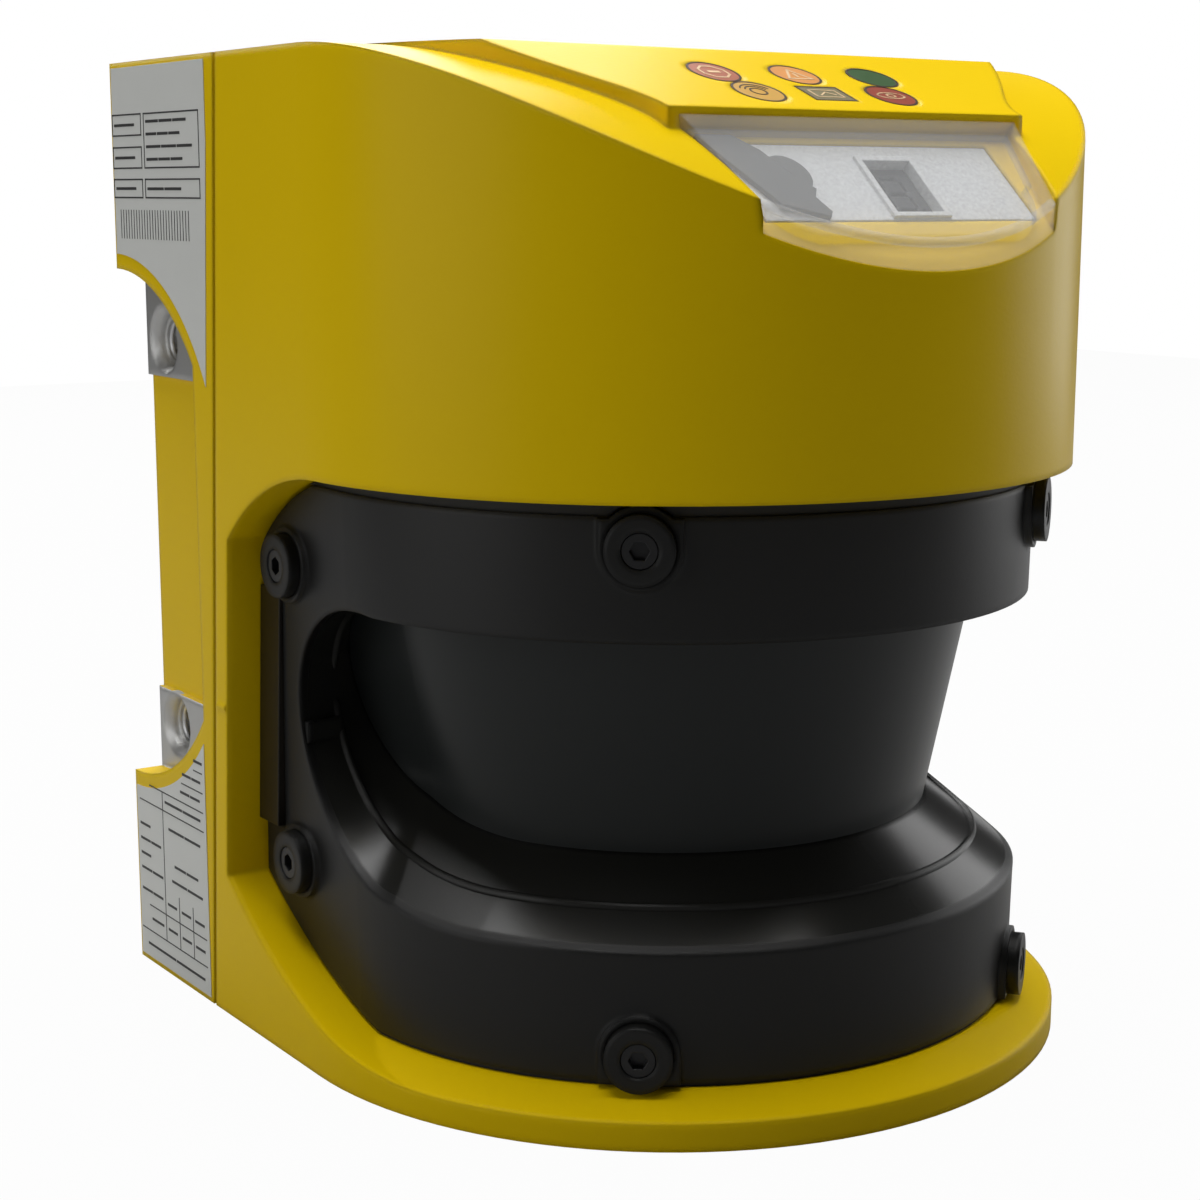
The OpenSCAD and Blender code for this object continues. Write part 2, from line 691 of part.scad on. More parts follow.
// ---------- mirror drive ----------
module motor_housing() {
  color([0.5, 0.5, 0.52]) translate([0, ax_y, foot_top]) difference() {
    union() {
      cylinder(r = motor_r, h = 18);
      intersection() {
        translate([-22, -22, 0]) cube([44, 44, 3]);
        cylinder(r = motor_r + 3, h = 3);
      }
    }
    translate([0, 0, 6]) cylinder(r = motor_r - 3, h = 14);
    translate([0, 0, 1.5]) cylinder(r = 6.5, h = 10);
    for (a = [0, 120, 240]) rotate([0, 0, a + 90]) translate([motor_r - 1.5, 0, 10])
      cylinder(r = 0.8, h = 10, $fn = 24);
  }
}
module motor_cap() {
  color([0.55, 0.55, 0.57]) translate([0, ax_y, foot_top + 18]) difference() {
    cylinder(r = motor_r, h = 4);
    translate([0, 0, -1]) cylinder(r = 6.5, h = 6);
    for (a = [0, 120, 240]) rotate([0, 0, a + 90]) translate([motor_r - 1.5, 0, -1])
      cylinder(r = 0.9, h = 8, $fn = 24);
  }
}
module motor_screws() {
  color(steel) translate([0, ax_y, foot_top + 22]) for (a = [0, 120, 240]) rotate([0, 0, a + 90])
    translate([motor_r - 1.9, 0, 0]) {
      cylinder(r = 1.6, h = 0.9, $fn = 32);
      translate([0.4, 0, -9]) cylinder(r = 0.75, h = 9.2, $fn = 24);
    }
}
module motor_coils() {
  color([0.7, 0.38, 0.15]) translate([0, ax_y, foot_top + 6]) difference() {
    ring(motor_r - 3, 11, 11);
    for (a = [0 : 60 : 300]) rotate([0, 0, a]) translate([10, -0.8, 1.5]) cube([20, 1.6, 12]);
  }
}
module bearings() {
  color([0.75, 0.75, 0.77]) translate([0, ax_y, 0]) for (z = [foot_top + 1.5, foot_top + 18]) translate([0, 0, z])
    difference() {
      cylinder(r = 6.5, h = 4);
      translate([0, 0, -1]) cylinder(r = shaft_r + shaft_fit, h = 6);
      translate([0, 0, 3.4]) ring(5.6, 4, 2);
    }
}
module drive_shaft() {
  color(steel) translate([0, ax_y, foot_top + 1.7]) cylinder(r = shaft_r, h = 30);
}
module rotor_magnet() {
  color([0.25, 0.25, 0.27]) translate([0, ax_y, foot_top + 6.6]) ring(10, shaft_r, 10);
}
module mirror_slab(d0, d1) {
  translate([0, ax_y, scan_z]) rotate([45, 0, 0]) translate([-60, -60, -d0]) cube([120, 120, d0 - d1]);
}
module mirror_carrier() {
  color([0.18, 0.18, 0.19]) difference() {
    union() {
      translate([0, ax_y, 33.6]) cylinder(r = mirror_r, h = scan_z + mirror_r - 33.6);
      translate([0, ax_y, 31]) cylinder(r = 8, h = 3);
    }
    translate([0, ax_y, 25]) cylinder(r = shaft_r, h = 14.7);
    mirror_above(mirror_t);
    difference() {
      translate([0, ax_y, 41.5]) cylinder(r = mirror_r - 2.5, h = 60);
      translate([-1.5, ax_y - 40, 38]) cube([3, 80, 60]);
    }
  }
}
module mirror_above(d) {
  translate([0, ax_y, scan_z]) rotate([45, 0, 0]) translate([-60, -60, -d]) cube([120, 120, 100]);
}
module scan_mirror() {
  color([0.85, 0.82, 0.7]) intersection() {
    translate([0, ax_y, 30]) cylinder(r = mirror_r, h = 70);
    mirror_slab(mirror_t, 0);
  }
}
module encoder_disc() {
  color([0.3, 0.3, 0.32]) translate([0, ax_y, 32.6]) difference() {
    cylinder(r = disc_r, h = 1);
    translate([0, 0, -1]) cylinder(r = 8, h = 3);
    for (a = [0 : 15 : 345]) if (a != 90) rotate([0, 0, a]) translate([disc_r - 2.4, -1, -1]) cube([1.8, 2, 3]);
  }
}
module encoder_sensor() {
  color([0.12, 0.12, 0.13]) translate([0, ax_y, 0]) difference() {
    translate([-6, disc_r - 3.4, foot_top]) cube([12, 8, 29.5]);
    translate([-7, disc_r - 6, 31.4]) cube([14, 7.8, 3.2]);
    translate([-7, disc_r - 6, foot_top - 1]) cube([14, 7, 20]);
  }
}

// ---------- transmit and receive optics ----------
module optics_plate() {
  color([0.6, 0.6, 0.62]) difference() {
    intersection() {
      dsolid(R - cast_wall - 1, 26, hood_z + 3.5, hood_z + 6.5);
      translate([-R, yc - 56, 0]) cube([2 * R, 90, H]);
    }
    translate([0, ax_y, hood_z]) cylinder(r = 27, h = 10);
    translate([0, ax_y, hood_z]) for (a = [30 : 60 : 330]) rotate([0, 0, a]) translate([30, 0, 0])
      cylinder(r = 1.3, h = 10, $fn = 24);
    both() translate([46, yc + 8, hood_z]) cylinder(r = 2, h = 10, $fn = 32);
  }
}
module optics_tube() {
  color([0.1, 0.1, 0.1]) translate([0, ax_y, 0]) difference() {
    union() {
      translate([0, 0, 92]) cylinder(r = 26.8, h = hood_z - 92 + 22);
      translate([0, 0, hood_z + 6.5]) cylinder(r = 33, h = 2.5);
    }
    translate([0, 0, 91]) cylinder(r = 24, h = 7);
    translate([0, 0, 91]) cylinder(r1 = 23, r2 = 12, h = hood_z - 92 + 18);
    translate([0, 0, 98]) cylinder(r = 12, h = 60);
    for (a = [30 : 60 : 330]) rotate([0, 0, a]) translate([30, 0, hood_z]) cylinder(r = 1.3, h = 20, $fn = 24);
  }
}
module tube_clamp() {
  color(steel) translate([0, ax_y, hood_z + 9]) for (a = [30 : 60 : 330]) rotate([0, 0, a]) translate([30, 0, 0]) {
    cylinder(r = 2.2, h = 1.6, $fn = 32);
    translate([0, 0, -4]) cylinder(r = 1.25, h = 4.1, $fn = 24);
  }
}
module receiver_lens() {
  color([0.6, 0.7, 0.75, 0.5]) translate([0, ax_y, 0]) difference() {
    intersection() {
      translate([0, 0, 92.4]) cylinder(r = 23.9, h = 5.5);
      translate([0, 0, 92.4 + 60]) sphere(r = 60, $fn = 128);
    }
    translate([0, 0, 90]) cylinder(r = 7, h = 12);
  }
}
module laser_module() {
  color([0.35, 0.3, 0.2]) translate([0, ax_y, 0]) difference() {
    union() {
      translate([0, 0, 93.5]) cylinder(r = 6.9, h = 16);
      translate([0, 0, 109.5]) cylinder(r = 4, h = 6);
      for (a = [0, 120, 240]) rotate([0, 0, a]) translate([0, -1, 99]) cube([19.6, 2, 2.4]);
    }
    translate([0, 0, 92]) cylinder(r = 5, h = 12);
  }
}
module sender_lens() {
  color([0.6, 0.7, 0.8, 0.5]) translate([0, ax_y, 94.5]) cylinder(r = 5, h = 2.4);
}
module detector_board() {
  color(green) translate([0, ax_y, hood_z + 22]) difference() {
    translate([-24, -20, 0]) cube([48, 40, 1.6]);
    for (x = [-20, 20]) for (y = [-16, 16]) translate([x, y, -1]) cylinder(r = 1.4, h = 4, $fn = 24);
  }
  color([0.3, 0.3, 0.3]) translate([0, ax_y, hood_z + 23.6]) {
    translate([-9, -9, 0]) cube([18, 18, 5]);
    translate([12, -8, 0]) cube([6, 14, 2]);
    translate([-19, -4, 0]) cube([7, 7, 1.6]);
  }
}
module window_sensors() {
  // emitters under the foot of the window and receivers under the hood
  color([0.15, 0.15, 0.17]) translate([0, yc, 0]) for (a = [-60 : 30 : 60]) rotate([0, 0, a]) {
    translate([-4, 0.2 - ring_in, foot_top]) cube([8, 3.5, 9]);
    translate([-4, 0.2 - ring_in, screw_hi - 5]) cube([8, 3.5, 8]);
  }
}
module reference_target() {
  color([0.7, 0.7, 0.68]) translate([-14, leg_y - 3, scan_z - 14]) difference() {
    cube([28, 3, 28]);
    translate([3, -1, 3]) cube([22, 3, 22]);
  }
}

// ---------- electronics ----------
module main_board() {
  color(green) translate([-50, yc + 20, board_z]) difference() {
    cube([100, 1.6, 48]);
    for (x = [4, 96]) for (z = [4, 44]) translate([x, -1, z]) rotate([-90, 0, 0]) cylinder(r = 1.6, h = 4, $fn = 24);
  }
  color([0.1, 0.1, 0.1]) translate([-50, yc + 17.6, board_z]) {
    translate([10, 0, 8]) cube([20, 2.4, 20]);
    translate([40, 0, 22]) cube([14, 2.4, 14]);
    translate([66, 0, 10]) cube([22, 2.4, 10]);
    translate([64, 0, 28]) cube([10, 2.4, 12]);
  }
}
module board_spacers() {
  color(steel) for (x = [-46, 46]) for (z = [4, 44]) translate([x, yc + 21.6, board_z + z]) rotate([-90, 0, 0])
    difference() {
      cylinder(r = 3, h = board_gap(board_z + z), $fn = 32);
      translate([0, 0, -1]) cylinder(r = 1.25, h = 6, $fn = 24);
    }
}
function board_gap(z) = head_rear - 4.1 - 21.6 - tan(seam_a) * (z + 3);
module board_screws() {
  color(steel) for (x = [-46, 46]) for (z = [4, 44]) translate([x, yc + 20, board_z + z]) rotate([90, 0, 0]) {
    cylinder(r = 2.6, h = 1.6, $fn = 32);
    translate([0, 0, -6]) cylinder(r = 1.2, h = 6.1, $fn = 24);
  }
}
module head_connector() {
  color([0.15, 0.15, 0.16]) translate([-20, yc + 21.6, hood_z + 18]) difference() {
    cube([40, head_rear - 21.6 - 0.066 * 140, 14]);
    translate([2, 6, 2]) cube([36, 40, 10]);
  }
  color([0.85, 0.7, 0.3]) for (i = [0 : 9]) translate([-16.6 + i * 3.6, yc + 26, hood_z + 24.6]) cube([0.8, 5, 0.8]);
}
module io_connector() {
  color([0.2, 0.2, 0.22]) translate([-17.8, yc + 28.5, hood_z + 20.2]) difference() {
    cube([35.6, yr - 27 - yc - 28.5, 9.6]);
    for (i = [0 : 9]) translate([1 + i * 3.6, -1, 4.2]) cube([1, 5, 1.2]);
  }
}
module io_board() {
  color(green) translate([-R + 18.5, yr - 27, 9]) difference() {
    cube([2 * R - 37, 1, H - 18]);
    for (x = [5.5, 2 * R - 42.5]) for (z = [5, H - 23]) translate([x, -1, z]) rotate([-90, 0, 0])
      cylinder(r = 1.6, h = 4, $fn = 24);
  }
  color([0.1, 0.1, 0.1]) translate([0, yr - 29, 0]) {
    translate([-45, 0, 60]) cube([18, 2, 18]);
    translate([20, 0, 48]) cube([24, 2, 12]);
    translate([-40, 0, 22]) cube([12, 2, 20]);
  }
}
module io_board_screws() {
  color(steel) both() for (z = [14, H - 14]) translate([R - 24, yr - 27, z]) rotate([90, 0, 0]) {
    cylinder(r = 2.6, h = 1.6, $fn = 32);
    translate([0, 0, -7]) cylinder(r = 1.2, h = 7.1, $fn = 24);
  }
}
module system_plug() {
  color([0.09, 0.09, 0.1]) difference() {
    union() {
      translate([-34, yr - 19, 74]) cube([68, 17, 44]);
      translate([-19, yr - 26, 87]) cube([38, 8, 14]);
    }
    for (p = [[-14, 8.2], [12, 8.2]]) translate([p[0], yr - 10.6, 73]) cylinder(r = 6, h = 16);
    both() for (z = [78, 114]) translate([31, yr - 20, z]) rotate([-90, 0, 0]) {
      cylinder(r = 1.6, h = 20, $fn = 32);
      translate([0, 0, 15]) cylinder(r = 2.8, h = 10, $fn = 32);
    }
    translate([-24, yr - 3, 80]) cube([48, 4, 32]);
  }
}
module plug_gasket() {
  color([0.03, 0.03, 0.03]) difference() {
    translate([-34, yr - 21, 74]) cube([68, 2, 44]);
    translate([-21, yr - 22, 85]) cube([42, 4, 18]);
    both() for (z = [78, 114]) translate([31, yr - 22, z]) rotate([-90, 0, 0]) cylinder(r = 1.8, h = 5, $fn = 32);
  }
}
module plug_screws() {
  color(steel) both() for (z = [78, 114]) translate([31, yr - 5, z]) rotate([-90, 0, 0]) difference() {
    union() {
      cylinder(r = 2.6, h = 2);
      translate([0, 0, -19]) cylinder(r = 1.45, h = 19.5, $fn = 32);
    }
    translate([0, 0, 0.8]) cylinder(r = 2.5 / sqrt(3), h = 3, $fn = 6);
  }
}
module blind_plugs() {
  color([0.12, 0.12, 0.13]) for (x = [-14, 12]) translate([x, yr - 10.6, 0]) {
    translate([0, 0, 74]) cylinder(r = 5.95, h = 8);
    difference() {
      translate([0, 0, 69]) cylinder(r = 7.6, h = 5);
      translate([0, 0, 68]) cylinder(r = 4 / sqrt(3) * 1.5, h = 3, $fn = 6);
    }
  }
}

head_casting();
io_housing();
seam_gasket();
module_screws();
optics_cover();
optics_window();
cover_gaskets();
cover_bushings();
cover_screws();
side_strips();
display_cover();
display_shade();
display_bezel();
digit_module();
display_board();
indicator_lenses();
light_guides();
label_upper();
label_lower();
motor_housing();
motor_cap();
motor_coils();
motor_screws();
bearings();
drive_shaft();
rotor_magnet();
mirror_carrier();
scan_mirror();
encoder_disc();
encoder_sensor();
optics_plate();
optics_tube();
tube_clamp();
receiver_lens();
laser_module();
sender_lens();
detector_board();
window_sensors();
main_board();
board_spacers();
board_screws();
head_connector();
io_connector();
io_board();
io_board_screws();
system_plug();
plug_gasket();
plug_screws();
blind_plugs();
reference_target();
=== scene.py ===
# %% [markdown]
# # A safety laser scanner
# The solid parts come from the CAD frame. This lesson gives them paint, plastic and film,
# adds the small shapes that a casting drawing leaves out, and lights the result plainly.

# %% Load the frame
import json
import math
import bmesh
import bpy
from mathutils import Matrix, Vector
from mathutils.bvhtree import BVHTree


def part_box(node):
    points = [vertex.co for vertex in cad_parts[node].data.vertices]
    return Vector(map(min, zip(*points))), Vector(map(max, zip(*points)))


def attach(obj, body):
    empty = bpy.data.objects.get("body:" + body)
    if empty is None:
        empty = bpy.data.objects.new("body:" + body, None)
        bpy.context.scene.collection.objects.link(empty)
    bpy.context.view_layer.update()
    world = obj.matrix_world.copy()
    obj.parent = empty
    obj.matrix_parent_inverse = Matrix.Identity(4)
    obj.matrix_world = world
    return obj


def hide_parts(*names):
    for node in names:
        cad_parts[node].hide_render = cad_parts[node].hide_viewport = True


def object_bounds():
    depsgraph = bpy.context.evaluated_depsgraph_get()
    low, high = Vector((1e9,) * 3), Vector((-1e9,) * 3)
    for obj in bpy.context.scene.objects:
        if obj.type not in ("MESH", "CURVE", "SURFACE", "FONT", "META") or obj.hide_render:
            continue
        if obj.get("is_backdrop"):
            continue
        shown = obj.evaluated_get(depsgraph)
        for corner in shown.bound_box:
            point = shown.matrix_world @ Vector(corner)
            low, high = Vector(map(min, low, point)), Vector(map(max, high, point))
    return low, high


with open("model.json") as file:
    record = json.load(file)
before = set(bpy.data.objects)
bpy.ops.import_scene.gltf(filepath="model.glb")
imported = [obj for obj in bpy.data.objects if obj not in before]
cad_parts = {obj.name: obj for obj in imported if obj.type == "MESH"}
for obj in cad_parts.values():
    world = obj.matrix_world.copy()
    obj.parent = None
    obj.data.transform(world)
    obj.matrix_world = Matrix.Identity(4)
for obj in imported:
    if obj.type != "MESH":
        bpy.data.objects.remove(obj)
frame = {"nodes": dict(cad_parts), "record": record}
start_low, start_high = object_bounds()
nodes = frame["nodes"]
print(len(nodes), "nodes,", [round(v, 4) for v in start_high - start_low])

# %% [markdown]
# ## Main sizes
# The new shapes follow a few sizes of the castings, kept here in metres. The outer faces are read
# from the frame, and the middle of the round front, the sloped faces and the mounting holes are
# placed from them.

# %% Main sizes
mm = 0.001
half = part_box("io_housing")[1].x
height = start_high.z
rear = start_high.y
arc_y = -2.5 * mm
display_back = arc_y - 54.5 * mm
display_z = height - 12.3 * mm
display_slope = math.radians(42)
panel_z = height - 11.2 * mm
panel_slope = math.atan(0.4)
mount_heights = (51.2 * mm, 130.6 * mm)
side_mount_y = rear - 8.5 * mm
rear_mount_x = 53 * mm
pad_x = 71.5 * mm
print("half width", round(half, 4), "height", round(height, 4), "arc centre", arc_y)

# %% [markdown]
# ## Material tools
# Every finish is built from the same few nodes, so short helpers make them: a sum of two values,
# the place of a point on the piece, and a step that turns a value into a mask.

# %% Node helpers
def link(tree, a, b):
    tree.links.new(a, b)

def math_node(tree, kind, a, b=None, c=None):
    node = tree.nodes.new("ShaderNodeMath")
    node.operation = kind
    for i, v in enumerate((a, b, c)):
        if v is None:
            continue
        if isinstance(v, (int, float)):
            node.inputs[i].default_value = v
        else:
            link(tree, v, node.inputs[i])
    return node.outputs[0]

def place_of(tree):
    coords = tree.nodes.new("ShaderNodeTexCoord")
    split = tree.nodes.new("ShaderNodeSeparateXYZ")
    link(tree, coords.outputs["Object"], split.inputs[0])
    return split.outputs

def step(tree, value, start, end):
    node = tree.nodes.new("ShaderNodeMapRange")
    node.inputs["From Min"].default_value = start
    node.inputs["From Max"].default_value = end
    link(tree, value, node.inputs["Value"])
    return node.outputs["Result"]

print("node helpers: link, math_node, place_of, step")

# %% [markdown]
# The next helper makes one finish. It takes a colour, a roughness and how metallic the surface
# is, then the small touches: noise in the colour, a fine grain, edges that look rounded, worn
# edges, and how clear the piece is. Noise reads object coordinates, so it stays on the piece.

# %% Material helper
finishes = {}

def finish(name, colour, rough=0.45, metal=0.0, vary=0.04, scale=60.0, grain=0.0, grain_scale=1500.0,
           edge=0.0006, wear=0.0, spec=0.5, transmit=0.0, rough_vary=0.05, alpha=1.0):
    mat = bpy.data.materials.new(name)
    finishes[name] = mat
    mat.use_nodes = True
    tree = mat.node_tree
    shader = tree.nodes["Principled BSDF"]
    coords = tree.nodes.new("ShaderNodeTexCoord")
    noise = tree.nodes.new("ShaderNodeTexNoise")
    noise.inputs["Scale"].default_value = scale
    noise.inputs["Detail"].default_value = 4.0
    link(tree, coords.outputs["Object"], noise.inputs["Vector"])
    tint = tree.nodes.new("ShaderNodeMix")
    tint.data_type = "RGBA"
    link(tree, noise.outputs["Fac"], tint.inputs["Factor"])
    tint.inputs["A"].default_value = (*[c * (1 - vary) for c in colour], 1)
    tint.inputs["B"].default_value = (*[min(1, c * (1 + vary)) for c in colour], 1)
    colour_out = tint.outputs["Result"]
    shader.inputs["Metallic"].default_value = metal
    shader.inputs["IOR"].default_value = 1.5
    shader.inputs["Specular IOR Level"].default_value = spec
    shader.inputs["Transmission Weight"].default_value = transmit
    shader.inputs["Alpha"].default_value = alpha
    span = tree.nodes.new("ShaderNodeMapRange")
    span.inputs["To Min"].default_value = max(0.02, rough - rough_vary)
    span.inputs["To Max"].default_value = min(1.0, rough + rough_vary)
    link(tree, noise.outputs["Fac"], span.inputs["Value"])
    link(tree, span.outputs["Result"], shader.inputs["Roughness"])
    bevel = tree.nodes.new("ShaderNodeBevel")
    bevel.samples = 4
    bevel.inputs["Radius"].default_value = edge
    normal_out = bevel.outputs["Normal"]
    if wear:
        plain = tree.nodes.new("ShaderNodeNewGeometry")
        dot = tree.nodes.new("ShaderNodeVectorMath")
        dot.operation = "DOT_PRODUCT"
        link(tree, plain.outputs["Normal"], dot.inputs[0])
        link(tree, bevel.outputs["Normal"], dot.inputs[1])
        worn = tree.nodes.new("ShaderNodeMix")
        worn.data_type = "RGBA"
        worn.inputs["B"].default_value = (*[min(1, c * 1.35 + 0.03) for c in colour], 1)
        amount = math_node(tree, "MULTIPLY", step(tree, dot.outputs["Value"], 0.99, 0.85), wear)
        link(tree, amount, worn.inputs["Factor"])
        link(tree, colour_out, worn.inputs["A"])
        colour_out = worn.outputs["Result"]
    if grain:
        fine = tree.nodes.new("ShaderNodeTexNoise")
        fine.inputs["Scale"].default_value = grain_scale
        fine.inputs["Detail"].default_value = 3.0
        link(tree, coords.outputs["Object"], fine.inputs["Vector"])
        bump = tree.nodes.new("ShaderNodeBump")
        bump.inputs["Strength"].default_value = grain
        bump.inputs["Distance"].default_value = 0.0003
        link(tree, fine.outputs["Fac"], bump.inputs["Height"])
        link(tree, normal_out, bump.inputs["Normal"])
        normal_out = bump.outputs["Normal"]
    link(tree, colour_out, shader.inputs["Base Color"])
    link(tree, normal_out, shader.inputs["Normal"])
    return mat

print("finish helper ready")

# %% [markdown]
# Some castings are painted in one place and bare in another. This helper lays a second look over a
# finish wherever a mask is one. A mask is often a distance, so a second helper gives the length of
# two sides taken together.

# %% Second look under a mask
def overlay(mat, mask, colour, rough, metal=0.0):
    tree = mat.node_tree
    shader = tree.nodes["Principled BSDF"]
    tint = tree.nodes.new("ShaderNodeMix")
    tint.data_type = "RGBA"
    link(tree, shader.inputs["Base Color"].links[0].from_socket, tint.inputs["A"])
    tint.inputs["B"].default_value = (*colour, 1)
    link(tree, mask, tint.inputs["Factor"])
    link(tree, tint.outputs["Result"], shader.inputs["Base Color"])
    blend = tree.nodes.new("ShaderNodeMix")
    link(tree, shader.inputs["Roughness"].links[0].from_socket, blend.inputs["A"])
    blend.inputs["B"].default_value = rough
    link(tree, mask, blend.inputs["Factor"])
    link(tree, blend.outputs["Result"], shader.inputs["Roughness"])
    if metal:
        link(tree, math_node(tree, "MULTIPLY", mask, metal), shader.inputs["Metallic"])

def span_of(tree, a, b):
    squares = [math_node(tree, "MULTIPLY", side, side) for side in (a, b)]
    return math_node(tree, "SQRT", math_node(tree, "ADD", *squares))

print("mask helpers: overlay, span_of")

# %% [markdown]
# ## The finishes
# Colours are linear values. The two castings are sprayed a warm yellow, with a fine cast texture
# under the paint, softly rounded edges and a little wear on them.

# %% Paint
yellow = finish("yellow_paint", (0.80, 0.545, 0.0), rough=0.32, vary=0.03, scale=25, grain=0.08,
                edge=0.0018, wear=0.12, spec=0.08)
print("paint:", yellow.name)

# %% [markdown]
# The cover, the window, the seals and the small parts are black or nearly black. They differ in
# gloss: rubber is dull, and the window is smooth.

# %% Dark plastics and rubber
black_cover = finish("black_cover", (0.0105, 0.0105, 0.010), rough=0.38, grain=0.03, edge=0.0014,
                     spec=0.3)
finish("dark_window", (0.016, 0.018, 0.0175), rough=0.30, vary=0.15, scale=12, edge=0.0002, spec=0.25)
finish("black_rubber", (0.010, 0.010, 0.010), rough=0.65, grain=0.15)
finish("black_screw", (0.016, 0.016, 0.017), rough=0.32, metal=0.3, edge=0.0003)
finish("strip_plastic", (0.012, 0.009, 0.005), rough=0.35, edge=0.0004)
finish("black_part", (0.02, 0.02, 0.022), rough=0.5, grain=0.1)
print("finishes so far:", len(finishes))

# %% [markdown]
# Under the display's clear cover lie a dark grey plate and a speckled silver one. The cover is
# thin and mostly see-through, so it is given a low alpha and not a glass that bends light.

# %% Display, films and boards
clear_cover = finish("clear_cover", (0.86, 0.87, 0.88), rough=0.16, vary=0.04, scale=300, grain=0.05,
                     grain_scale=900, edge=0.0016, alpha=0.16)
finish("grey_plate", (0.085, 0.085, 0.082), rough=0.45, grain=0.05, edge=0.0004)
finish("silver_plate", (0.66, 0.67, 0.68), rough=0.5, vary=0.3, scale=1500, edge=0.0004)
finish("circuit_board", (0.01, 0.09, 0.03), rough=0.4)
finish("label_film", (0.68, 0.69, 0.66), rough=0.42, vary=0.02, scale=200, edge=0.0001)
label_ink = finish("label_ink", (0.03, 0.03, 0.03), rough=0.5, edge=0.00005)
finish("indicator", (0.35, 0.06, 0.03), rough=0.3)
print("finishes so far:", len(finishes))

# %% [markdown]
# Inside are machined metals, the coated mirror and the lenses. Once all finishes exist, each node
# of the frame gets the one that its record names.

# %% Metals and glass
bare_aluminium = finish("bare_aluminium", (0.66, 0.66, 0.66), rough=0.34, metal=1.0, vary=0.08,
                        scale=400)
finish("copper", (0.62, 0.26, 0.1), rough=0.35, metal=1.0)
finish("steel", (0.55, 0.55, 0.56), rough=0.3, metal=1.0, vary=0.06)
finish("magnet", (0.09, 0.09, 0.1), rough=0.4, metal=0.8)
finish("brass", (0.6, 0.42, 0.16), rough=0.3, metal=1.0)
finish("mirror", (0.9, 0.88, 0.8), rough=0.03, metal=1.0, rough_vary=0.01)
finish("lens_glass", (0.85, 0.88, 0.92), rough=0.05, transmit=1.0)
finish("clear_plastic", (0.88, 0.9, 0.91), rough=0.15, transmit=1.0)
for part in frame["record"]["subparts"]:
    piece = nodes[part["node"]]
    piece.data.materials.clear()
    piece.data.materials.append(finishes[part["material_slot"]])
print("finishes:", len(finishes))

# %% [markdown]
# ## A glossy scoop
# The cover is satin outside and polished where the beam passes. It is one moulding, so a mask
# finds the polished part: it measures how far a point is from the middle of the round front, and
# is one inside the outer skin, between the lip and the collar. Behind the middle the cover runs
# straight back, so only the distance to the side counts there.

# %% Glossy scoop
gloss_side = (half - 9.6 * mm, half - 10.2 * mm)
gloss_top = (87.2 * mm, 86.6 * mm)
gloss_foot = (29 * mm, 31 * mm)
tree = black_cover.node_tree
x, y, z = place_of(tree)
behind = math_node(tree, "MINIMUM", math_node(tree, "SUBTRACT", y, arc_y), 0.0)
inside = step(tree, span_of(tree, x, behind), *gloss_side)
below = step(tree, z, *gloss_top)
above = step(tree, z, *gloss_foot)
mask = math_node(tree, "MULTIPLY", inside, math_node(tree, "MULTIPLY", below, above))
overlay(black_cover, mask, colour=(0.016, 0.016, 0.014), rough=0.2)
print("scoop polished from", round(gloss_foot[1], 3), "to", round(gloss_top[1], 4))

# %% [markdown]
# ## Bare metal round the mounting holes
# The pads beside the mounting holes are milled after painting. They are the only faces at their
# distance from the middle, and the holes in them are bare too. So one mask finds the pads by
# distance and facing, and a second one finds the holes by their radius.

# %% Milled pads
bare_yellow = yellow.copy()
bare_yellow.name = "yellow_paint_milled"
hole_reach = 7.1 * mm
hole_from, hole_to = 62 * mm, 71.8 * mm
tree = bare_yellow.node_tree
x, y, z = place_of(tree)
facing = tree.nodes.new("ShaderNodeNewGeometry")
turn_x = tree.nodes.new("ShaderNodeSeparateXYZ")
link(tree, facing.outputs["True Normal"], turn_x.inputs[0])
out = math_node(tree, "ABSOLUTE", x)
flat = math_node(tree, "GREATER_THAN", math_node(tree, "ABSOLUTE", turn_x.outputs[0]), 0.9)
near = math_node(tree, "COMPARE", out, pad_x, 0.2 * mm)
pad = math_node(tree, "MULTIPLY", flat, near)
rings = []
for level in mount_heights:
    dy = math_node(tree, "SUBTRACT", y, side_mount_y)
    dz = math_node(tree, "SUBTRACT", z, level)
    rings.append(math_node(tree, "LESS_THAN", span_of(tree, dy, dz), hole_reach))
holes = math_node(tree, "MAXIMUM", *rings)
holes = math_node(tree, "MULTIPLY", holes, math_node(tree, "LESS_THAN", out, hole_to))
holes = math_node(tree, "MULTIPLY", holes, math_node(tree, "GREATER_THAN", out, hole_from))
milled = math_node(tree, "MAXIMUM", pad, holes)
overlay(bare_yellow, milled, colour=(0.55, 0.55, 0.54), rough=0.38, metal=0.9)
nodes["io_housing"].data.materials[0] = bare_yellow
print("pads milled at", round(pad_x, 4))

# %% [markdown]
# ## Tools for new shapes
# The shapes that follow are printed films, rings and beads. Five small tools make them all. The
# first one turns a finished bmesh into a piece that rides on the housing.

# %% New piece
def new_piece(name, bm, material, stands_for=None, smooth=False):
    bmesh.ops.recalc_face_normals(bm, faces=bm.faces)
    mesh = bpy.data.meshes.new(name)
    bm.to_mesh(mesh)
    bm.free()
    mesh.materials.append(material)
    for face in mesh.polygons:
        face.use_smooth = smooth
    ob = bpy.data.objects.new(name, mesh)
    bpy.context.scene.collection.objects.link(ob)
    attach(ob, "housing")
    if stands_for:
        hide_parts(stands_for)
    print(name, len(mesh.polygons), "faces")

# %% [markdown]
# Printed lines are thin bars. A ribbon is a chain of bars from point to point, and `loop` and
# `corners` give the points of a round and a square outline.

# %% Bars, ribbons and outlines
def shift(x, y, z):
    return Matrix.Translation((x, y, z))

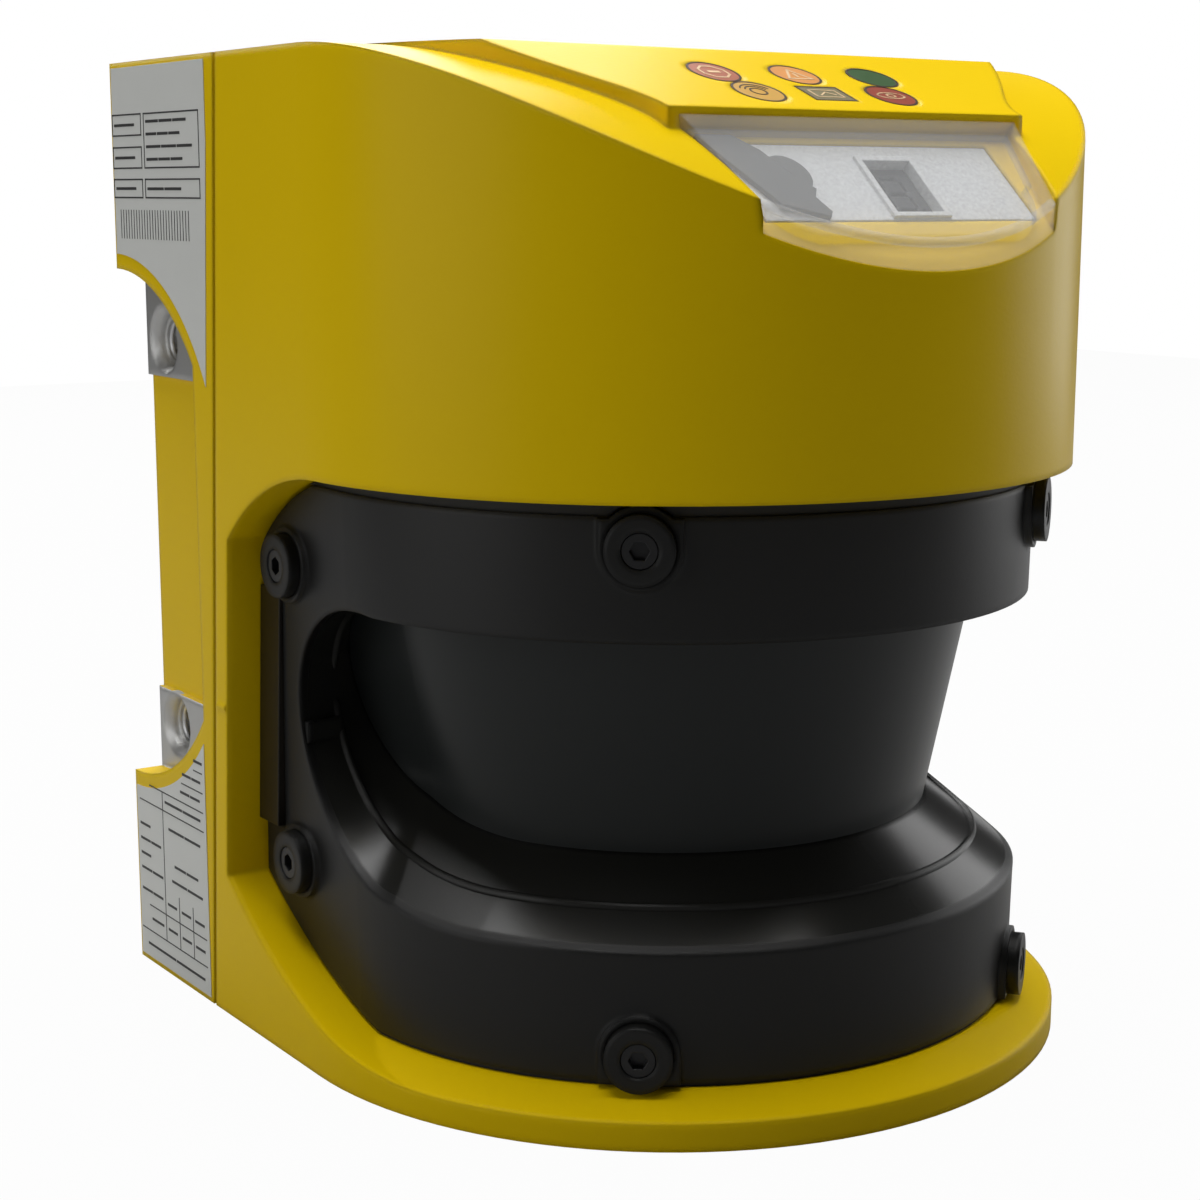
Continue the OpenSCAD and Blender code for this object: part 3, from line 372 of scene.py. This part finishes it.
def bar(bm, place, x, y, w, h, thick):
    size = Matrix.Diagonal((w, h, thick, 1))
    bmesh.ops.create_cube(bm, size=1, matrix=place @ shift(x, y, 0) @ size)

def ribbon(bm, place, points, width, thick, closed=True):
    ends = points[1:] + points[:1] if closed else points[1:]
    for (x0, y0), (x1, y1) in zip(points, ends):
        run = math.hypot(x1 - x0, y1 - y0) + width
        spin = Matrix.Rotation(math.atan2(y1 - y0, x1 - x0), 4, "Z")
        middle = shift((x0 + x1) / 2, (y0 + y1) / 2, 0)
        bar(bm, place @ middle @ spin, 0, 0, run, width, thick)

def loop(radius, count, turn=0.0, squash=1.0):
    angles = [turn + 2 * math.pi * k / count for k in range(count)]
    return [(radius * math.cos(a), squash * radius * math.sin(a)) for a in angles]

def corners(w, h):
    return [(-w, -h), (w, -h), (w, h), (-w, h)]

print("line tools: bar, ribbon, loop, corners")

# %% [markdown]
# A bead of round section is easiest as a curve with a bevel. The curve is made a mesh at once, so
# that its place is in its points, and the doubled points at its caps are merged.

# %% Rod along a path
def rod(path, radius):
    curve = bpy.data.curves.new("rod", "CURVE")
    curve.dimensions = "3D"
    curve.bevel_depth = radius
    curve.bevel_resolution = 3
    curve.use_fill_caps = True
    spline = curve.splines.new("POLY")
    spline.points.add(len(path) - 1)
    for point, where in zip(spline.points, path):
        point.co = (*where, 1)
    holder = bpy.data.objects.new("rod", curve)
    bpy.context.scene.collection.objects.link(holder)
    shown = holder.evaluated_get(bpy.context.evaluated_depsgraph_get())
    mesh = bpy.data.meshes.new_from_object(shown)
    bpy.data.objects.remove(holder)
    bm = bmesh.new()
    bm.from_mesh(mesh)
    bmesh.ops.remove_doubles(bm, verts=bm.verts, dist=0.01 * mm)
    return bm

print("rod tool ready")

# %% [markdown]
# ## Indicator lenses
# Six printed lenses lie flush in the raised panel: three at the back and three in front, the
# middle one in front a small rectangle. The table gives each one's place across the panel, its row
# up the slope and its colour.

# %% Lens places and colours
lens_radius = 4.85 * mm
lens_depth = 1.1 * mm
back_row, front_row = 17.8 * mm, 8.4 * mm
back_x, front_x = 17.7 * mm, 14.7 * mm
lenses = {
    "stop": (-back_x, back_row, (0.40, 0.11, 0.05)),
    "wait": (0, back_row, (0.70, 0.30, 0.08)),
    "clear": (back_x, back_row, (0.040, 0.095, 0.030)),
    "field": (-front_x, front_row, (0.60, 0.34, 0.06)),
    "window": (0, front_row, (0.22, 0.19, 0.10)),
    "fault": (front_x, front_row, (0.30, 0.06, 0.035))}

def on_panel(x, s):
    along = display_back + s * math.cos(panel_slope)
    return shift(x, along, panel_z + s * math.sin(panel_slope)) @ Matrix.Rotation(panel_slope, 4, "X")

print("lenses:", ", ".join(lenses))

# %% [markdown]
# Most lenses carry a plain symbol: a sign with a bar, a triangle, waves, a framed zigzag or an eye.
# The symbols are generic, and thin enough to read as print. The waves go with the dark outlines,
# because they are printed in the same dark ink.

# %% Symbols
print_thick = 0.05 * mm
line = 0.35 * mm
rims, signs = bmesh.new(), bmesh.new()

def draw_symbol(name, lift):
    if name == "stop":
        ribbon(signs, lift, loop(2.9 * mm, 8, math.pi / 8), 0.45 * mm, print_thick)
        bar(signs, lift, 0, 0, 2.6 * mm, 0.9 * mm, print_thick)
    if name == "wait":
        triangle = loop(3.0 * mm, 3, math.pi / 2)
        ribbon(signs, lift @ shift(0, -0.5 * mm, 0), triangle, 0.45 * mm, print_thick)
        bar(signs, lift, 0, -0.2 * mm, 0.5 * mm, 1.8 * mm, print_thick)
    if name == "field":
        ribbon(rims, lift, loop(1.5 * mm, 20), line, print_thick)
        for reach in (2.4 * mm, 3.3 * mm):
            ribbon(rims, lift, loop(reach, 40)[3:18], 0.3 * mm, print_thick, closed=False)
    if name == "window":
        zigzag = [(-1.6 * mm, -0.8 * mm), (0.2 * mm, 0.7 * mm), (1.8 * mm, -0.5 * mm)]
        ribbon(signs, lift, corners(2.9 * mm, 1.7 * mm), 0.3 * mm, print_thick)
        ribbon(signs, lift, zigzag, line, print_thick, closed=False)
    if name == "fault":
        ribbon(signs, lift, loop(2.9 * mm, 28, squash=0.5), line, print_thick)
        ribbon(signs, lift, loop(0.8 * mm, 14), 0.4 * mm, print_thick)

print("symbol tool ready")

# %% [markdown]
# Each lens is a short cylinder, or a block, whose top is level with the panel. Its outline lies just
# inside its edge, and its symbol a hair above it, so that no two printed faces share a plane.

# %% Lenses, outlines and symbols
for name, (lens_x, row, colour) in lenses.items():
    place = on_panel(lens_x, row)
    sunk = place @ shift(0, 0, -lens_depth / 2)
    face = bmesh.new()
    if name == "window":
        bar(face, sunk, 0, 0, 9.2 * mm, 6.8 * mm, lens_depth)
        edge_points = corners(4.45 * mm, 3.25 * mm)
    else:
        bmesh.ops.create_cone(face, cap_ends=True, segments=56, radius1=lens_radius,
                              radius2=lens_radius, depth=lens_depth, matrix=sunk)
        edge_points = loop(lens_radius - 0.2 * mm, 48)
    lens_finish = finish("lens_" + name, colour, rough=0.32, vary=0.1, scale=500)
    new_piece("lens_" + name, face, lens_finish, "indicator_lenses")
    ribbon(rims, place @ shift(0, 0, 0.02 * mm), edge_points, 0.4 * mm, 0.06 * mm)
    draw_symbol(name, place @ shift(0, 0, 0.03 * mm))
outline = finish("lens_outline", (0.05, 0.025, 0.012), rough=0.45, edge=0.00005)
pale = finish("lens_symbol", (0.72, 0.52, 0.30), rough=0.4, edge=0.00005)
new_piece("lens_outlines", rims, outline)
new_piece("lens_symbols", signs, pale)

# %% [markdown]
# ## Ruling on the labels
# The films carry plain ruled boxes and lines, with short bars where small print would be. They
# say nothing: the real wording belongs to whoever makes and rates the device. The tools measure in
# millimetres, first from the middle of the device towards its back, then up from its base.

# %% Ruling tools
rule_thick = 0.05 * mm
film_face = half + 0.17 * mm
word_gap = 0.9
ink = bmesh.new()

def on_left(y, z):
    upright = Matrix.Rotation(-math.pi / 2, 4, "Y") @ Matrix.Rotation(-math.pi / 2, 4, "Z")
    return shift(-film_face, y * mm, z * mm) @ upright

def rule(y0, z0, y1, z1, width=0.3):
    across, tall = abs(y1 - y0) + width, abs(z1 - z0) + width
    place = on_left((y0 + y1) / 2, (z0 + z1) / 2)
    bar(ink, place, 0, 0, across * mm, tall * mm, rule_thick)

def box_of_rules(y0, z0, y1, z1):
    rule(y0, z0, y1, z0)
    rule(y0, z1, y1, z1)
    rule(y0, z0, y0, z1)
    rule(y1, z0, y1, z1)

def small_print(y0, y1, z, words):
    run = (y0 - y1 - word_gap * (words - 1)) / words
    for k in range(words):
        start = y0 - k * (run + word_gap)
        rule(start, z, start - run, z, 0.55)

print("ruling tools: rule, box_of_rules, small_print")

# %% [markdown]
# The upper label has three small boxes beside a large one and a low one, and a row of equal bars
# below them, where the real film has its machine-readable code.

# %% Upper label
back_edge, back_end = 79.2, 65.0
front_edge, front_end = 63.6, 38.2
for top, bottom in ((174.9, 170.9), (168.6, 164.6), (162.4, 158.9)):
    box_of_rules(back_edge, bottom, back_end, top)
    small_print(back_edge - 1.2, 68.5, (top + bottom) / 2, 1)
box_of_rules(front_edge, 164.6, front_end, 174.9)
box_of_rules(front_edge, 158.9, front_end, 162.4)
for row, end in enumerate((44.0, 47.0, 41.5, 46.0)):
    small_print(front_edge - 1.2, end, 173.4 - row * 2.4, 3)
small_print(front_edge - 1.2, 47.0, 160.6, 2)
bar_pitch = 1.3
for k in range(26):
    across = 76.3 - k * bar_pitch
    rule(across, 151.0, across, 156.4, 0.25)
print("upper label:", len(ink.faces) // 6, "rules")

# %% [markdown]
# The lower label is a small table. Its long rules end at one edge and start where the arch above
# leaves room. Lines of print stand beside them, and three short columns are at the foot.

# %% Lower label
label_end = 45.9
long_rules = ((49.8, 46.9), (55.9, 42.9), (72.5, 38.9), (77.7, 35.0), (74.2, 12.6), (78.5, 6.9))
columns = ((66.0, 38.9), (59.0, 17.9), (52.2, 17.6))
print_front = ((49.5, 46.0, 48.9), (55.2, 47.0, 44.9), (56.5, 47.5, 41.0), (64.5, 47.5, 37.0),
               (63.0, 48.0, 31.6), (60.5, 49.5, 24.2), (62.0, 47.5, 20.8))
print_back = ((77.6, 73.0, 29.8), (77.6, 67.8, 26.6), (77.6, 73.2, 23.4), (77.6, 67.2, 20.2),
              (77.6, 67.5, 15.6), (73.0, 67.5, 9.8), (75.5, 47.5, 3.9))
for start, level in long_rules:
    rule(start, level, label_end, level, 0.25)
for across, top in columns:
    rule(across, 7.0, across, top, 0.25)
for start, end, level in print_front + print_back:
    small_print(start, end, level, 1 if start - end < 6 else 2)
for across in (62.6, 55.6, 49.0):
    for level in (15.2, 9.8):
        small_print(across + 2, across - 2, level, 1)
new_piece("label_ruling", ink, label_ink)

# %% [markdown]
# ## Threads in the mounting holes
# The CAD bores are smooth, since a thread is cut from a standard size. Rings with a V section,
# one pitch apart, give the bores the look of their M8 thread. Each ring is a triangle spun round
# the bore's axis, which is simpler than a helix and looks the same from outside.

# %% Threads
thread_radius = 4.0 * mm
pitch = 1.25 * mm
bite = 0.02 * mm

def thread(bm, place, depth):
    axis = place.to_3x3() @ Vector((0, 0, 1))
    for turn in range(int(depth / pitch)):
        top = -turn * pitch - 0.3 * mm
        section = ((thread_radius + bite, top), (thread_radius - 0.55 * mm, top - pitch / 2),
                   (thread_radius + bite, top - pitch))
        profile = [bm.verts.new(place @ Vector((r, 0, level))) for r, level in section]
        sides = [bm.edges.new((profile[k], profile[(k + 1) % 3])) for k in range(3)]
        bmesh.ops.spin(bm, geom=profile + sides, cent=place.translation, axis=axis,
                       angle=2 * math.pi, steps=32, use_merge=True)

threads = bmesh.new()
for level in mount_heights:
    for sign in (-1, 1):
        side_turn = Matrix.Rotation(sign * math.pi / 2, 4, "Y")
        thread(threads, shift(sign * 69.0 * mm, side_mount_y, level) @ side_turn, 6.2 * mm)
        rear_turn = Matrix.Rotation(-math.pi / 2, 4, "X")
        thread(threads, shift(sign * rear_mount_x, rear, level) @ rear_turn, 8.4 * mm)
new_piece("mount_threads", threads, bare_aluminium)

# %% [markdown]
# ## The ridge in the scoop
# A rounded ridge runs along the scoop floor and up both ends, halfway between the outer lip and
# the window. The scoop's form isn't simple, so rays find where the ridge lies: they start in the
# middle of the scoop's height and go straight down, or up, until they meet the cover.

# %% Rays on to the cover
cover_mesh = nodes["optics_cover"].data
cover_tree = BVHTree.FromPolygons([v.co for v in cover_mesh.vertices],
                                  [p.vertices for p in cover_mesh.polygons])
ridge_reach = 61.0 * mm
mid_z = 64 * mm

def meet(spots, way):
    points = []
    for x, y in spots:
        hit, normal, _, _ = cover_tree.ray_cast(Vector((x, y, mid_z)), Vector((0, 0, way)))
        if hit is not None and normal.z * way <= 0:
            points.append(hit)
    return points

print("cover triangles:", len(cover_mesh.polygons))

# %% [markdown]
# The ridge's way is seen from above as a half circle with two straight sides. Its ends turn up
# and back along the underside of the collar, and the right end mirrors the left one.

# %% Ridge in the scoop
side_steps = [k * 0.8 * mm for k in range(40)]
arc_steps = 60
angles = [-math.pi / 2 + math.pi * k / arc_steps for k in range(1, arc_steps)]
left_side = [(-ridge_reach, arc_y + s) for s in side_steps]
right_side = [(ridge_reach, arc_y + s) for s in side_steps]
front = [(ridge_reach * math.sin(a), arc_y - ridge_reach * math.cos(a)) for a in angles]
floor_line = meet(left_side[::-1] + front + right_side, -1)
top_left = meet([spot for spot, s in zip(left_side, side_steps) if s > 2 * mm], 1)
top_right = [Vector((-p.x, p.y, p.z)) for p in top_left]
path = top_left + floor_line + top_right[::-1]
print("ridge points", len(top_left), len(floor_line))
new_piece("scoop_ridge", rod(path, 0.8 * mm), black_cover, smooth=True)

# %% [markdown]
# A short web joins the ridge to the outer lip at both ends, level with the beam. Its section is a
# small rectangle that follows the wall behind it outwards, so rays find the wall at each step and
# the rectangle is extruded from one place to the next. Extruding leaves the old face inside the
# bar, so each one but the first is deleted.

# %% Webs between ridge and lip
web_low, web_high = 58 * mm, 62 * mm
web_front, web_back = -1.1 * mm, 0.6 * mm
web = bmesh.new()
for sign in (-1, 1):
    wall = []
    for k in range(9):
        start = Vector((sign * (ridge_reach + k * 1.0 * mm), -12 * mm, 60 * mm))
        hit, _, _, _ = cover_tree.ray_cast(start, Vector((0, 1, 0)))
        if hit is not None:
            wall.append((start.x, hit.y))
    x, y = wall[0]
    section = [web.verts.new((x, y + dy, z)) for dy, z in (
        (web_front, web_high), (web_front, web_low), (web_back, web_low), (web_back, web_high))]
    cap = end = web.faces.new(section)
    for (x0, y0), (x1, y1) in zip(wall, wall[1:]):
        grown = bmesh.ops.extrude_face_region(web, geom=[end])["geom"]
        if end is not cap:
            bmesh.ops.delete(web, geom=[end], context="FACES_ONLY")
        end = next(g for g in grown if isinstance(g, bmesh.types.BMFace))
        bmesh.ops.translate(web, verts=end.verts, vec=(x1 - x0, y1 - y0, 0))
    print("web steps", len(wall))
new_piece("scoop_webs", web, black_cover)

# %% [markdown]
# ## Rounded front of the display
# The clear cover ends in a soft rolled rim that follows the round front of the head. Its path is
# the circle of the front, lifted on to the slope of the display.

# %% Display rim
rim_half = 31.6 * mm
rim_steps = 40
front_radius = half - 0.7 * mm
rim_path = []
for k in range(rim_steps + 1):
    x = 2 * rim_half * k / rim_steps - rim_half
    y = arc_y - math.sqrt(front_radius ** 2 - x * x)
    z = display_z + (y - display_back) * math.tan(display_slope) - 0.4 * mm
    rim_path.append(Vector((x, y + 0.2 * mm, z)))
new_piece("display_rim", rod(rim_path, 0.9 * mm), clear_cover, smooth=True)

# %% [markdown]
# ## Camera
# A long lens looks at the scanner from a little above and to its left. The camera's axes are made
# from two angles and a small roll, and set as one matrix.

# %% Camera
cam_data = bpy.data.cameras.new("camera")
cam_data.sensor_width = 36
cam_data.lens = 68.45
cam_data.shift_x = -0.0128
cam_data.shift_y = 0.0154
cam_data.clip_start = 0.01
camera = bpy.data.objects.new("camera", cam_data)
bpy.context.scene.collection.objects.link(camera)
side, pitch_down, roll = math.radians(34.361), math.radians(10.574), math.radians(0.139)
back = Vector((-math.sin(side) * math.cos(pitch_down), -math.cos(side) * math.cos(pitch_down),
               math.sin(pitch_down)))
level_right = Vector((0, 0, 1)).cross(back).normalized()
level_up = back.cross(level_right)
right = math.cos(roll) * level_right + math.sin(roll) * level_up
up = -math.sin(roll) * level_right + math.cos(roll) * level_up
turn = Matrix((right, up, back)).transposed().to_4x4()
camera.matrix_world = shift(-0.25715, -0.36135, 0.16010) @ turn
bpy.context.scene.camera = camera
bpy.context.scene.view_settings.view_transform = "Standard"
print("camera at", [round(v, 3) for v in camera.matrix_world.translation])

# %% [markdown]
# ## Light
# Soft lights stand at both sides, overhead and behind, and none in front, so that the round front
# falls off towards its middle.

# %% Lights
def area(name, place, size, watts):
    data = bpy.data.lights.new(name, "AREA")
    data.shape = "RECTANGLE"
    data.size, data.size_y = size
    data.energy = watts
    ob = bpy.data.objects.new(name, data)
    bpy.context.scene.collection.objects.link(ob)
    ob.location = place
    ob.rotation_mode = "QUATERNION"
    ob.rotation_quaternion = (Vector((0, 0, 0.1)) - Vector(place)).to_track_quat("-Z", "Y")

area("left", (-1.2, 0.15, 0.35), (0.9, 0.9), 4.0)
area("right", (1.2, -0.05, 0.35), (0.9, 0.9), 6.0)
area("top", (0.0, 0.1, 1.3), (1.0, 1.0), 21.0)
area("behind", (0.3, 1.3, 0.9), (1.4, 0.8), 13.0)
print("four lights")

# %% [markdown]
# The surround is white to the camera but gives the object only a little light. So the world has
# two backgrounds, and the kind of ray picks one.

# %% White surround
world = bpy.data.worlds.new("world")
bpy.context.scene.world = world
world.use_nodes = True
sky = world.node_tree
soft = sky.nodes["Background"]
soft.inputs["Color"].default_value = (1, 1, 1, 1)
soft.inputs["Strength"].default_value = 0.05
white = sky.nodes.new("ShaderNodeBackground")
white.inputs["Color"].default_value = (1, 1, 1, 1)
rays = sky.nodes.new("ShaderNodeLightPath")
mix = sky.nodes.new("ShaderNodeMixShader")
link(sky, rays.outputs["Is Camera Ray"], mix.inputs["Fac"])
link(sky, soft.outputs["Background"], mix.inputs[1])
link(sky, white.outputs["Background"], mix.inputs[2])
link(sky, mix.outputs["Shader"], sky.nodes["World Output"].inputs["Surface"])
print("world set")

# %% [markdown]
# The floor is nearly white to the camera in the same way, and keeps a trace of the shadow. To
# every other ray it is a plain grey, so it throws only a little light up on to the object.

# %% Floor
bpy.ops.mesh.primitive_plane_add(size=3, location=(0, 0, -0.0002))
floor = bpy.context.object
floor.name = "floor"
floor_finish = finish("floor", (0.3, 0.3, 0.3), rough=0.9, vary=0.0, edge=0.0001)
ground = floor_finish.node_tree
seen_white = ground.nodes.new("ShaderNodeEmission")
seen_white.inputs["Strength"].default_value = 1.0
rays = ground.nodes.new("ShaderNodeLightPath")
seen = ground.nodes.new("ShaderNodeMixShader")
share = math_node(ground, "MULTIPLY", rays.outputs["Is Camera Ray"], 0.97)
link(ground, share, seen.inputs["Fac"])
link(ground, ground.nodes["Principled BSDF"].outputs["BSDF"], seen.inputs[1])
link(ground, seen_white.outputs["Emission"], seen.inputs[2])
link(ground, seen.outputs["Shader"], ground.nodes["Material Output"].inputs["Surface"])
floor.data.materials.append(floor_finish)
floor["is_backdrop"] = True
print("stage set")

# %% [markdown]
# ## Sizes and finish
# The box of the shown object is measured at the end and compared with the CAD box, and its growth is
# printed.

# %% Compare with the CAD box
low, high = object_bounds()
growth = (high - low) - (start_high - start_low)
print("box grows by", [round(v / mm, 2) for v in growth], "mm")
